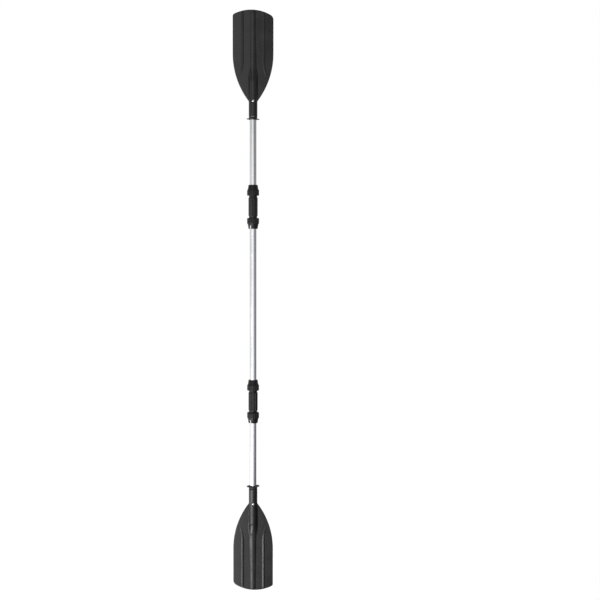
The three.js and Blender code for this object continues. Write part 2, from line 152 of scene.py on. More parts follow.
RIB_INNER_FLANK, RIB_OUTER_FLANK = 7.2, 4.2
RIB_BEND, RIB_FOOT, RIB_SWEEP = 1000, 946, 9
RIB_SOFT = 0.35                 # share of the flank's shape that is rounded off
RIB_ENDS = 2.5, 9               # as for the ridge
RIB_FADES = 0.4, 1.05           # shares of the way from the bend to the foot

BUTTON_RADIUS = 4.6
BUTTON_HOLE = BUTTON_RADIUS + 0.3
HOLE_FLOOR = 8                  # the hole's cutter starts this far from the middle, inside the tube
BUTTON_FOOT = (10.2, 11.2)
BUTTON_FOOT_RADIUS = 5.6
BUTTON_SEAT, BUTTON_SEAT_RADIUS = 16.8, 8.5
SPRING_THICK, SPRING_BEND_RADIUS = 0.7, 3

RING_HUB = 17.6
RING_FLANGE = 2.2               # from the hub's inner end to the flange's middle


# ---- Mesh helpers --------------------------------------------------------------------------------

def grid_faces(rows, columns, closed_rows=False, closed_columns=True):
    """Quads between neighbouring rows of a grid of points."""
    row = np.arange(rows if closed_rows else rows - 1)[:, None]
    column = np.arange(columns if closed_columns else columns - 1)[None, :]
    following = (column + 1) % columns
    above = (row + 1) % rows
    corners = (row * columns + column, row * columns + following,
               above * columns + following, above * columns + column)
    return np.stack(corners, -1).reshape(-1, 4)


def outward(points, faces):
    """The same faces, all turned so that the closed surface faces outwards."""
    a, b, c, d = (points[faces[:, i]] for i in range(4))
    volume = np.einsum("ij,ij->i", a, np.cross(b, c)) + np.einsum("ij,ij->i", a, np.cross(c, d))
    return faces[:, ::-1] if volume.sum() < 0 else faces


def mesh_piece(name, points, faces, sharp_deg=38):
    """A smooth-shaded mesh object from points in millimetres."""
    mesh = bpy.data.meshes.new(name)
    mesh.from_pydata((np.asarray(points) * MM).tolist(), [], [list(map(int, f)) for f in faces])
    work = bmesh.new()
    work.from_mesh(mesh)
    bmesh.ops.remove_doubles(work, verts=work.verts, dist=2e-7)
    bmesh.ops.dissolve_degenerate(work, edges=work.edges, dist=1e-8)
    bmesh.ops.delete(work, geom=[e for e in work.edges if e.is_wire], context="EDGES")
    work.to_mesh(mesh)
    work.free()
    shade(mesh, sharp_deg)
    thing = bpy.data.objects.new(name, mesh)
    bpy.context.scene.collection.objects.link(thing)
    return thing


def shade(mesh, sharp_deg):
    mesh.shade_smooth()
    mesh.set_sharp_from_angle(angle=math.radians(sharp_deg))


def lathe(name, rows, columns=160, sharp_deg=38, from_deg=0, sweep_deg=360):
    """A closed loop of (height, radius) rows turned about Z, where a radius of 0 closes the piece
    on the axis. A radius may be a function of the angles, for ribs, grooves and threads; a height
    may be one too. Less than a full sweep leaves a slit, closed by flat ends."""
    full = sweep_deg == 360
    sweep = np.linspace(0, math.radians(sweep_deg), columns, endpoint=not full)
    angles = math.radians(from_deg) + sweep
    points = np.zeros((len(rows), columns, 3))
    for i, (height, radius) in enumerate(rows):
        r = radius(angles) if callable(radius) else np.full(columns, float(radius))
        points[i, :, 0] = r * np.cos(angles)
        points[i, :, 1] = r * np.sin(angles)
        points[i, :, 2] = height(angles) if callable(height) else height
    flat = points.reshape(-1, 3)
    faces = outward(flat, grid_faces(len(rows), columns, closed_rows=True, closed_columns=full))
    faces = [list(f) for f in faces]
    if not full:
        ends = np.arange(len(rows)) * columns
        faces += [list(ends), list(ends[::-1] + columns - 1)]
    thing = mesh_piece(name, flat, faces, sharp_deg)
    if not full:
        face_outwards(thing.data)
    return thing


def face_outwards(mesh):
    work = bmesh.new()
    work.from_mesh(mesh)
    bmesh.ops.recalc_face_normals(work, faces=work.faces)
    work.to_mesh(mesh)
    work.free()


def filleted(corners, support=0.12):
    """A closed loop through (height, radius, fillet) corners, with each corner rounded by its
    fillet and a supporting point close to either side of it."""
    loop = []
    count = len(corners)
    for i, (z, r, fillet) in enumerate(corners):
        here = np.array([z, r], float)
        before = np.array(corners[i - 1][:2], float) - here
        after = np.array(corners[(i + 1) % count][:2], float) - here
        if fillet == 0:
            loop.append(tuple(here))
            continue
        long_before, long_after = np.linalg.norm(before), np.linalg.norm(after)
        before, after = before / long_before, after / long_after
        half = math.acos(np.clip(before @ after, -1, 1)) / 2
        reach = min(fillet / math.tan(half), 0.46 * long_before, 0.46 * long_after)
        radius = reach * math.tan(half)
        middle = (before + after) / np.linalg.norm(before + after)
        centre = here + middle * radius / math.sin(half)
        steps = 3 if fillet < 0.5 else 6
        start, end = here + before * reach, here + after * reach
        if support and reach + support < 0.48 * long_before:
            loop.append(tuple(start + before * support))
        a, b = start - centre, end - centre
        swing = math.pi - 2 * half
        for k in range(steps + 1):
            t = k / steps
            blend = (math.sin((1 - t) * swing) * a + math.sin(t * swing) * b) / math.sin(swing)
            loop.append(tuple(centre + blend))
        if support and reach + support < 0.48 * long_after:
            loop.append(tuple(end + after * support))
    return loop


def smoothstep(low, high, value):
    t = np.clip((value - low) / (high - low), 0, 1)
    return t * t * (3 - 2 * t)


def cut(thing, cutter, sharp_deg=38):
    """Takes the cutter's volume out of a piece, then deletes the cutter."""
    bore = thing.modifiers.new("cut", "BOOLEAN")
    bore.operation = "DIFFERENCE"
    bore.solver = "EXACT"
    bore.object = cutter
    graph = bpy.context.evaluated_depsgraph_get()
    graph.update()
    result = bpy.data.meshes.new_from_object(thing.evaluated_get(graph))
    thing.modifiers.clear()
    thing.data = result
    bpy.data.objects.remove(cutter)
    shade(result, sharp_deg)


def copy_of(thing, name, place):
    """Another object with the same mesh, put somewhere else."""
    twin = bpy.data.objects.new(name, thing.data)
    bpy.context.scene.collection.objects.link(twin)
    twin.matrix_world = place
    return twin


# ---- Connector, nut and collet -------------------------------------------------------------------

def grip_radius(inset=0.0):
    """The fluted grip's outline: slightly crowned panels with a rounded groove between each two."""
    share = 2 * math.pi / GRIP_PANELS

    def radius(angles):
        from_middle = (angles + share / 2) % share - share / 2
        panel = GRIP_FLAT + 0.8 * (GRIP_FLAT / np.cos(from_middle) - GRIP_FLAT)
        to_groove = (share / 2 - np.abs(from_middle)) * GRIP_FLAT
        groove = GROOVE_DEPTH * (1 - np.clip((to_groove - 0.3) / GROOVE_HALF, 0, 1)) ** 1.15
        return panel - groove - inset
    return radius


def thread_share(height, angles, start, turns):
    """How high a right-handed thread's ridge stands at each angle, from 0 to 1."""
    best = np.zeros_like(angles)
    sweep = 2 * math.pi * turns
    for turn in range(math.ceil(turns) + 1):
        wound = angles % (2 * math.pi) + 2 * math.pi * turn
        off = np.abs(height - (start + PITCH * wound / (2 * math.pi)))
        share = np.clip((RIDGE_BASE - off) / (RIDGE_BASE - RIDGE_TOP), 0, 1)
        lead = smoothstep(0, 0.35, wound) * smoothstep(0, 0.35, sweep - wound)
        best = np.maximum(best, share * lead)
    return best


def connector_rows():
    """Rows up the outside from the middle, then back down the inside; mirrored by a half turn."""
    chamfer = GRIP_CHAMFER
    face_foot = WAIST + 0.6
    face = [(GRIP_HALF, lambda a, k=k: face_foot + k * (grip_radius(chamfer + 0.3)(a) - face_foot))
            for k in (0.97, 0.6, 0.2, 0.0)]
    grip = [(z, grip_radius()) for z in np.linspace(0, GRIP_HALF - chamfer - 0.6, 9)]
    rounding = [(GRIP_HALF - chamfer * (1 - math.sin(t)), grip_radius(chamfer * (1 - math.cos(t))))
                for t in np.linspace(0, math.pi / 2, 6)]
    waist = [(GRIP_HALF + 0.2, WAIST + 0.2), (GRIP_HALF + 0.7, WAIST), (41, WAIST), (44, WAIST),
             (THREAD_START - 0.2, WAIST), (THREAD_START, WAIST + 0.2),
             (THREAD_START, MALE_ROOT - 0.4), (THREAD_START + 0.12, MALE_ROOT - 0.12),
             (THREAD_START + 0.4, MALE_ROOT)]
    thread = []
    for z in np.arange(THREAD_START + 0.6, NECK_END - 1.2, THREAD_STEP):
        def radius(angles, z=z):
            share = thread_share(z, angles, FIRST_RIDGE, MALE_TURNS)
            return MALE_ROOT + share * (MALE_CREST - MALE_ROOT)
        thread.append((z, radius))
    slope = (COLLET_WIDE - COLLET_TOE) / (COLLET_BELT[0] - COLLET_START)
    mouth = COLLET_WIDE + CONE_GAP
    cone_foot = NECK_END - (mouth - SEAT) / slope
    inside = [(NECK_END - 0.9, MALE_ROOT), (NECK_END - 0.5, MALE_ROOT - 0.15),
              (NECK_END, MALE_ROOT - 0.7), (NECK_END, mouth + 0.15), (NECK_END - 0.15, mouth),
              (cone_foot, SEAT),
              (30, SEAT), (WEB_HALF + 3, SEAT), (WEB_HALF + 0.4, SEAT), (WEB_HALF, SEAT - 0.4),
              (WEB_HALF, WEB_HOLE + 0.4), (WEB_HALF - 0.3, WEB_HOLE), (0, WEB_HOLE)]
    return grip + rounding + face + waist + thread + inside


def make_connector():
    upper = connector_rows()

    def turned_over(height, radius):
        flipped = (lambda angles: radius(-angles)) if callable(radius) else radius
        return -height, flipped

    lower = [turned_over(z, r) for z, r in upper[1:-1]]
    return lathe("connector_mesh", upper + lower[::-1], columns=320)


def band_radius(valley, crest):
    share = 2 * math.pi / BAND_RIBS

    def radius(angles):
        from_rib = np.abs((angles + share / 2) % share - share / 2) / share
        return valley + (crest - valley) * (1 - smoothstep(0.17, 0.32, from_rib))
    return radius


def make_nut():
    """Ribbed band and hollow tapered tail, threaded inside, with one open notch in the tail."""
    rounding = ((0, 2.2), (0.15, 1.7), (0.6, 1.0), (1.3, 0.4), (2.2, 0.08), (2.8, 0))
    band_edge = [(NUT_START + dz, band_radius(BAND_VALLEY - inset * 0.8, BAND_RADIUS - inset))
                 for dz, inset in rounding]
    band = [(z, band_radius(BAND_VALLEY, BAND_RADIUS)) for z in np.linspace(50, BAND_END - 5, 8)]
    tail_slope = (TAIL_WIDE - TAIL_NARROW) / (TAIL_END - 2.5 - BAND_END)
    shoulder = []
    for z in np.linspace(BAND_END - 4, BAND_END + 2.6, 14):
        fallen = smoothstep(BAND_END - 4.5, BAND_END + 2.8, z)
        on_tail = TAIL_WIDE - tail_slope * (z - BAND_END)
        shoulder.append((z, band_radius(BAND_VALLEY + fallen * (on_tail - BAND_VALLEY),
                                        BAND_RADIUS + fallen * (on_tail - BAND_RADIUS))))
    tail = [(z, TAIL_WIDE - tail_slope * (z - BAND_END))
            for z in np.linspace(BAND_END + 3.4, TAIL_END - 2.7, 6)]
    outer_round = 1.5
    nose = [(TAIL_END - outer_round * (1 - math.sin(t)),
             TAIL_NARROW - outer_round * (1 - math.cos(t)))
            for t in np.linspace(0.1, math.pi / 2, 6)]
    hollow, hollow_wide = TAIL_NARROW - TAIL_WALL, TAIL_WIDE - TAIL_WALL
    tail_floor = COLLET_CONE_END + SEAT_LIP
    cone_wide, cone_narrow = COLLET_WIDE + CONE_GAP, COLLET_TOE + CONE_GAP
    inside = [(TAIL_END, hollow + 0.5), (TAIL_END - 0.15, hollow + 0.12), (TAIL_END - 0.6, hollow),
              (TAIL_END - 7, hollow + 1), (tail_floor + 1, hollow_wide - 0.1),
              (tail_floor + 0.2, hollow_wide - 0.2), (tail_floor, hollow_wide - 0.7),
              (tail_floor, cone_narrow + 0.25), (tail_floor - 0.25, cone_narrow),
              (COLLET_CONE_END, cone_narrow), (COLLET_BELT[1] + 0.1, cone_wide),
              (NECK_END + 0.3, cone_wide), (NECK_END + 0.3, FEMALE_ROOT - 0.3),
              (NECK_END, FEMALE_ROOT)]
    thread = []
    for z in np.arange(NECK_END - 0.4, NUT_START + 0.9, -THREAD_STEP):
        def radius(angles, z=z):
            share = thread_share(z, angles, FIRST_RIDGE + PITCH / 2, FEMALE_TURNS)
            return FEMALE_ROOT - share * (FEMALE_ROOT - FEMALE_CREST)
        thread.append((z, radius))
    mouth = [(NUT_START + 0.6, FEMALE_ROOT), (NUT_START + 0.05, FEMALE_ROOT + 0.45)]
    rows = band_edge + band + shoulder + tail + nose + inside + thread + mouth
    nut = lathe("nut_mesh", rows, columns=320)
    cut(nut, notch_cutter())
    return nut


def notch_cutter():
    """A bar through the tail's wall, open at the tail's end, with rounded inner corners."""
    half, corner_radius = NOTCH_WIDTH / 2, 2.6
    floor, beyond = TAIL_END - NOTCH_LENGTH, TAIL_END + 3
    outline = [(half, beyond)]
    for t in np.linspace(0, math.pi / 2, 7):
        outline.append((half - corner_radius * (1 - math.cos(t)),
                        floor + corner_radius * (1 - math.sin(t))))
    outline += [(-y, z) for y, z in outline[::-1]]
    near, far = 8, TAIL_WIDE + 4
    points = [(near, y, z) for y, z in outline] + [(far, y, z) for y, z in outline]
    count = len(outline)
    faces = [list(range(count))[::-1], list(range(count, 2 * count))]
    faces += [[i, (i + 1) % count, count + (i + 1) % count, count + i] for i in range(count)]
    cutter = mesh_piece("notch_cutter", points, faces)
    face_outwards(cutter.data)
    cutter.data.transform(Matrix.Rotation(math.radians(NOTCH_AZIMUTH), 4, "Z"))
    return cutter


def make_collet():
    """Split ring with a cone to either side of its belt and a thin sleeve inside the nut's tail."""
    corners = [(COLLET_START, SEAT, 0.15), (COLLET_START, COLLET_TOE, 0.15),
               (COLLET_BELT[0], COLLET_WIDE, 0.5), (COLLET_BELT[1], COLLET_WIDE, 0.5),
               (COLLET_CONE_END, COLLET_TOE, 0.6), (COLLET_END, COLLET_TOE, 0.25),
               (COLLET_END, SEAT, 0.15)]
    slit = math.degrees(COLLET_SLIT / COLLET_WIDE)
    return lathe("collet_mesh", filleted(corners), columns=140,
                 from_deg=NOTCH_AZIMUTH + 180 + slit / 2, sweep_deg=360 - slit)


# ---- Tubes, plugs and drip ring ------------------------------------------------------------------

def make_tube(name, low, high):
    corners = [(low, TUBE_BORE, 0.3), (low, TUBE_RADIUS, 0.35),
               (high, TUBE_RADIUS, 0.35), (high, TUBE_BORE, 0.3)]
    return lathe(name, filleted(corners, support=1.0), columns=128)


def make_plug():
    """A bung with a thin flange and three soft sealing ribs, drawn with its body pointing up."""
    body, flange, thick, length, gap = 12.5, 13.5, 1.5, 14, 0.3
    shank = body - 0.5
    corners = [(-gap - thick, 0, 0), (-gap - thick, flange, 0.5), (-gap, flange, 0.3),
               (-gap, shank, 0.2)]
    for rib in range(3):
        z = 3 + 3 * rib
        corners += [(z - 0.8, shank, 0.2), (z - 0.3, body, 0.2), (z + 0.3, body, 0.2),
                    (z + 0.8, shank, 0.2)]
    corners += [(length - 1.5, shank, 0.4), (length, body - 2.2, 0.6), (length, 6.5, 0.5),
                (4, 6, 1), (4, 0, 0)]
    return lathe("plug_mesh", filleted(corners), columns=96)


def make_drip_ring():
    """A soft rubber disc on a short hub: dished, thin at its lip, and not quite true."""
    middle = RING_LOW + RING_FLANGE
    hub_end = RING_HIGH - middle
    dish, root, lip = 0.7, 1.5, 0.9
    corners = [(-RING_FLANGE, SEAT, 0.3), (-RING_FLANGE, RING_HUB, 0.3), (-root, RING_HUB, 0.3),
               (dish - lip, RING_RADIUS, 0.7), (dish + lip, RING_RADIUS, 0.7),
               (root, RING_HUB, 1.2), (hub_end, RING_HUB, 0.8), (hub_end, SEAT, 0.3)]
    outline = filleted(corners)
    longest = 1.2
    loop = []
    for (z0, r0), (z1, r1) in zip(outline, outline[1:] + outline[:1]):
        steps = max(1, int(math.hypot(z1 - z0, r1 - r0) / longest))
        loop += [(z0 + (z1 - z0) * k / steps, r0 + (r1 - r0) * k / steps) for k in range(steps)]
    tilt, wave = math.tan(math.radians(2.6)), 0.3

    def sagged(z, r):
        out = (r - RING_HUB) / (RING_RADIUS - RING_HUB)
        loose = min(1.0, max(0.0, out)) ** 1.5

        def height(angles):
            ripple = np.sin(2 * angles + 0.8) + 0.6 * np.sin(3 * angles + 2.1)
            return middle + z + loose * (wave * ripple - tilt * RING_RADIUS * np.cos(angles))
        return height

    return lathe("drip_ring_mesh", [(sagged(z, r), r) for z, r in loop], columns=160)


# ---- Blade ---------------------------------------------------------------------------------------

def side_width(z):
    """Half the blade's width at a height, before its corners round it off."""
    below = np.clip(BLADE_SQUARE - z, 0, SIDE_RADIUS - 1)
    return HALF_WIDTH - SIDE_RADIUS + np.sqrt(SIDE_RADIUS ** 2 - below ** 2)


def blade_width(z):
    """Half the outline's width: the round neck, then the flared sides, softly joined."""
    blend, neck = 3.0, NECK_RADIUS
    wide = side_width(z)
    near = np.clip(blend - np.abs(wide - neck), 0, None)
    return np.maximum(wide, neck) + near ** 2 / (4 * blend)


def crown_corner(side, radius):
    """Centre of the rounding between a straight side and the crown, and the direction, from that
    centre, in which it meets the crown."""
    x = side * (HALF_WIDTH - radius)
    across = x - CROWN_OFFSET
    up = math.sqrt((CROWN_RADIUS - radius) ** 2 - across ** 2)
    return x, TIP - CROWN_RADIUS + up, radius, across / (CROWN_RADIUS - radius)


CORNERS = (crown_corner(1, TRAILING_CORNER), crown_corner(-1, LEADING_CORNER))


def blade_top(x):
    """Height of the blade's curved end above each x."""
    crown = np.sqrt(np.clip(CROWN_RADIUS ** 2 - (x - CROWN_OFFSET) ** 2, 0, None))
    top = TIP - CROWN_RADIUS + crown
    for side, (cx, cz, radius, meets) in zip((1, -1), CORNERS):
        beyond = side * (x - (cx + radius * meets)) > 0
        rounded = cz + np.sqrt(np.clip(radius ** 2 - (x - cx) ** 2, 0, None))
        top = np.where(beyond, rounded, top)
    return top


def inset_from_edge(x, z):
    """Distance from a point of the blade to its outline."""
    below_square = np.maximum(BLADE_SQUARE - z, 0)
    side = np.where(z < BLADE_SQUARE,
                    SIDE_RADIUS - np.hypot(np.abs(x) + SIDE_RADIUS - HALF_WIDTH, below_square),
                    HALF_WIDTH - np.abs(x))
    side = np.where(z < NECK_GONE, blade_width(z) - np.abs(x), side)
    crown = CROWN_RADIUS - np.hypot(x - CROWN_OFFSET, z - (TIP - CROWN_RADIUS))
    inset = np.where(z < BLADE_SQUARE, side, np.minimum(side, crown))
    for sign, (cx, cz, radius, meets) in zip((1, -1), CORNERS):
        lean = sign * meets / math.sqrt(1 - meets ** 2)
        in_wedge = (z > cz) & (sign * (x - cx) > lean * (z - cz))
        inset = np.where(in_wedge, np.minimum(inset, radius - np.hypot(x - cx, z - cz)), inset)
    return np.clip(inset, 0, None)


def blade_height(x, z):
    """Half the blade's thickness at a point: plate, middle ridge, outer ribs and socket bulge."""
    inset = inset_from_edge(x, z)
    rim = np.sqrt(1 - (1 - np.clip(inset / RIM_ROUNDING, 0, 1)) ** 2)
    across = np.clip(np.abs(x) / HALF_WIDTH, 0, 1)
    plate = (PLATE_MIDDLE + (PLATE_EDGE - PLATE_MIDDLE) * across ** PLATE_FALL) * rim

    foot = np.interp(z, *zip(*RIDGE_FEET))
    off = np.abs(x)
    crest = RIDGE_RISE - np.minimum(off, foot) ** 2 / (2 * RIDGE_CREST_RADIUS)
    ridge = crest * (1 - smoothstep(RIDGE_CREST_HALF, foot, off)) * smoothstep(*RIDGE_ENDS, inset)
    ridge = ridge * smoothstep(*RIDGE_GROWS, z)

    bend = np.clip((RIB_BEND - z) / (RIB_BEND - RIB_FOOT), 0, 1)
    rib_line = RIB_OFFSET + RIB_SWEEP * bend ** 2
    beyond = np.abs(x) - rib_line
    off = np.maximum(beyond / RIB_OUTER_FLANK, -beyond / RIB_INNER_FLANK) / (1 - 0.45 * bend)
    flank = np.clip((1 - off) / 0.8, 0, 1)
    rib = RIB_RISE * (RIB_SOFT * smoothstep(0, 1, flank) + (1 - RIB_SOFT) * flank)
    rib = rib * smoothstep(*RIB_ENDS, inset) * (1 - smoothstep(*RIB_FADES, bend))

    circle = np.sqrt(np.clip(NECK_RADIUS ** 2 - x ** 2, 0, None))
    draft_height = math.sqrt(NECK_RADIUS ** 2 - BULGE_DRAFT_FROM ** 2)
    draft = draft_height - (np.abs(x) - BULGE_DRAFT_FROM) * BULGE_DRAFT_FROM / draft_height
    sloped = np.where(np.abs(x) < BULGE_DRAFT_FROM, circle, np.clip(draft, 0, None))
    bulge = circle + (sloped - circle) * smoothstep(*DRAFT_GROWS, z)
    bulge = bulge * (1 - smoothstep(BULGE_FALLS, BULGE_GONE, z))
    return ((plate + ridge + rib) ** 3 + bulge ** 3) ** (1 / 3)


def spread_across(width, count):
    """Columns across one face of a flat section, from -1 to 1, closer together on the flanks of the
    ridge and ribs and at the rim."""
    fine = np.linspace(-1, 1, 4000)
    x = np.abs(fine) * width
    on_ridge, on_rib, on_rim = np.abs(x - 14) < 8, np.abs(x - RIB_OFFSET) < 7, width - x < 4
    crowding = 1 + 2.2 * on_ridge + 2 * on_rib + 4 * on_rim
    share = np.concatenate([[0], np.cumsum((crowding[1:] + crowding[:-1]) / 2)])
    return np.interp(np.linspace(0, share[-1], count), share, fine)


def blade_rows():
    """Heights of the cross-sections up the blade's outside, below its square part."""
    return np.concatenate([
        np.linspace(SOCKET_MOUTH + 1.2, 838, 18), np.arange(840, 876, 0.75), np.arange(877, 920, 2),
        np.arange(921, 962, 1), np.arange(963, BLADE_SQUARE - 1, 1.8),
    ])


def make_blade():
    columns = 301
    round_spread = np.sin(np.linspace(-1, 1, columns) * math.pi / 2)
    face = np.concatenate([-np.ones(columns), np.ones(columns - 2)])
    face[[0, columns - 1]] = 0

    def there_and_back(spread):
        return np.concatenate([spread, spread[-2:0:-1]])

    across = there_and_back(round_spread)
    circle = np.sqrt(np.clip(1 - across ** 2, 0, None)) * np.sign(face)

    rows = []
    inside = [(SOCKET_END, 0.0), (SOCKET_END, 5), (SOCKET_END, SEAT - 0.5),
              (SOCKET_END - 0.15, SEAT - 0.15), (SOCKET_END - 0.5, SEAT)]
    inside += [(z, SEAT) for z in (900, 860, 845, 820, 790)]
    inside += [(SOCKET_MOUTH + dz, SEAT + out)
               for dz, out in ((1.5, 0), (0.8, 0.1), (0.2, 0.5), (0, 1.0))]
    inside += [(SOCKET_MOUTH + dz, NECK_RADIUS - inset)
               for dz, inset in ((0, 1.1), (0.1, 0.6), (0.4, 0.2), (0.8, 0.03))]
    for z, radius in inside:
        rows.append(np.stack([across * radius, circle * radius, np.full(len(across), z)], -1))
    for z in blade_rows():
        flat = smoothstep(*ROUND_TO_FLAT, z)
        width = blade_width(z)
        x = there_and_back((1 - flat) * round_spread + flat * spread_across(width, columns)) * width
        level = np.full(len(x), z)
        rows.append(np.stack([x, face * blade_height(x, level), level], -1))
    x = there_and_back(spread_across(HALF_WIDTH, columns)) * HALF_WIDTH
    top = blade_top(x)
    straight = np.linspace(0, 0.9, 90)
    closing = 1 - 0.1 * (1 - np.sin(np.linspace(0, math.pi / 2, 40)[1:]))
    for v in np.concatenate([straight, closing]):
        z = BLADE_SQUARE + v * (top - BLADE_SQUARE)
        y = face * blade_height(x, z) if v < 1 else np.zeros(len(x))
        rows.append(np.stack([x, y, z], -1))
    points = np.concatenate(rows)
    faces = outward(points, grid_faces(len(rows), len(across)))
    blade = mesh_piece("blade_mesh", points, faces, sharp_deg=50)
    seat = button_cutter("seat_cutter", BUTTON_SEAT, BUTTON_SEAT_RADIUS, flare=1.2)
    cut(blade, seat, sharp_deg=50)
    cut(blade, button_cutter("hole_cutter", HOLE_FLOOR, BUTTON_HOLE, flare=0), sharp_deg=50)
    return blade


FACE_FRONT = Matrix.Rotation(math.pi / 2, 4, "X")
FORWARD_AT_BUTTON = Matrix.Translation((0, 0, BUTTON_AT * MM)) @ FACE_FRONT


def button_cutter(name, near, radius, flare):
    """A round bar out of the front at the button's height, wider towards the outside by flare."""
    far = NECK_RADIUS + 4
    rows = [(near, 0), (near, radius - 0.5), (near + 0.15, radius - 0.15), (near + 0.5, radius),
            (near + 1.0, radius + 0.1 * flare), (far, radius + flare * 2), (far, 0)]
    bar = lathe(name, rows, columns=72)
    bar.data.transform(FORWARD_AT_BUTTON)
    return bar


def make_button():
    foot, shoulder = BUTTON_FOOT
    crown = BUTTON_CROWN
    rounding, flatness = 1.5, 0.4
    rows = [(foot, 0), (foot, BUTTON_FOOT_RADIUS - 0.2), (foot + 0.2, BUTTON_FOOT_RADIUS),
            (shoulder - 0.2, BUTTON_FOOT_RADIUS), (shoulder, BUTTON_FOOT_RADIUS - 0.2),
            (shoulder, BUTTON_RADIUS + 0.1), (shoulder + 0.15, BUTTON_RADIUS),
            (crown - 2.5, BUTTON_RADIUS), (crown - 1.7, BUTTON_RADIUS)]
    for t in np.linspace(0.12, math.pi / 2, 14):
        rows.append((crown - rounding * (1 - math.sin(t)),
                     BUTTON_RADIUS * max(0, math.cos(t)) ** flatness))
    button = lathe("snap_button_mesh", rows, columns=72)
    button.data.transform(FORWARD_AT_BUTTON)
    return button


def make_spring():
    """A V of rounded spring strip with its bend towards the blade: front arm, bend, back arm."""
    half_thick, edge, corner = SPRING_THICK / 2, 0.2, 2.0
    bend = SPRING_BEND_RADIUS - half_thick
    bend_at = SPRING_TOP - SPRING_BEND_RADIUS
    arm = np.linspace(0, 1, 60)[:-1]
    arm_y = SPRING_ARM - half_thick + arm * (bend - SPRING_ARM + half_thick)
    arm_z = SPRING_FREE_END + arm * (bend_at - SPRING_FREE_END)
    around = np.linspace(0, math.pi, 25)
    y = np.concatenate([-arm_y, -bend * np.cos(around), arm_y[::-1]])
    z = np.concatenate([arm_z, bend_at + bend * np.sin(around), arm_z[::-1]])
    along = np.concatenate([[0], np.cumsum(np.hypot(np.diff(y), np.diff(z)))])
    from_end = np.minimum(np.minimum(along, along[::-1]), corner)
    half = SPRING_HALF_WIDTH - corner + np.sqrt(corner ** 2 - (corner - from_end) ** 2)
    slope_y, slope_z = np.gradient(y, along), np.gradient(z, along)
    rows = []
    for side, out in ((1, -1), (1, 1), (-1, 1), (-1, -1)):
        near_edge = [(half, half_thick - edge), (half - edge, half_thick)]
        for width, thick in near_edge if side * out < 0 else near_edge[::-1]:
            away = out * thick
            rows.append(np.stack([side * width, y + away * slope_z, z - away * slope_y], -1))
    points = np.stack(rows, 1).reshape(-1, 3)
    count = len(rows)
    faces = [list(f) for f in grid_faces(len(y), count)]
    faces += [list(range(count)), list(range(len(points) - count, len(points)))[::-1]]
    spring = mesh_piece("spring_mesh", points, faces)
    face_outwards(spring.data)
    return spring


# ---- Materials -----------------------------------------------------------------------------------

class Steps:
    """A node tree built step by step. Every socket argument may be a number, a colour or the output
    of an earlier step."""

    def __init__(self, tree):
        self.tree = tree

    def add(self, kind, sockets=None, **settings):
        node = self.tree.nodes.new(kind)
        for key, value in settings.items():
            setattr(node, key, value)
        for key, value in (sockets or {}).items():
            self.plug(node.inputs[key], value)
        return node

    def plug(self, socket, value):
        if isinstance(value, bpy.types.NodeSocket):
            self.tree.links.new(value, socket)
        elif isinstance(value, tuple) and len(value) == 3 and socket.type == "RGBA":
            socket.default_value = (*value, 1)
        else:
            socket.default_value = value

    def remap(self, value, low, high, to_low, to_high, smooth=True):
        return self.add("ShaderNodeMapRange", {
            "Value": value, "From Min": low, "From Max": high, "To Min": to_low, "To Max": to_high,
        }, interpolation_type="SMOOTHSTEP" if smooth else "LINEAR").outputs["Result"]

    def maths(self, operation, a, b=0.0, clamp=False):
        node = self.add("ShaderNodeMath", operation=operation, use_clamp=clamp)
        self.plug(node.inputs[0], a)
        self.plug(node.inputs[1], b)
        return node.outputs[0]

    def mix(self, share, a, b):
        node = self.add("ShaderNodeMix", data_type="RGBA")
        self.plug(node.inputs["Factor"], share)
        self.plug(node.inputs["A"], a)
        self.plug(node.inputs["B"], b)
        return node.outputs["Result"]

    def blend(self, share, a, b):
        """A mix of two shaders."""
        node = self.add("ShaderNodeMixShader")
        for socket, value in zip(node.inputs, (share, a, b)):
            self.plug(socket, value)
        return node.outputs[0]


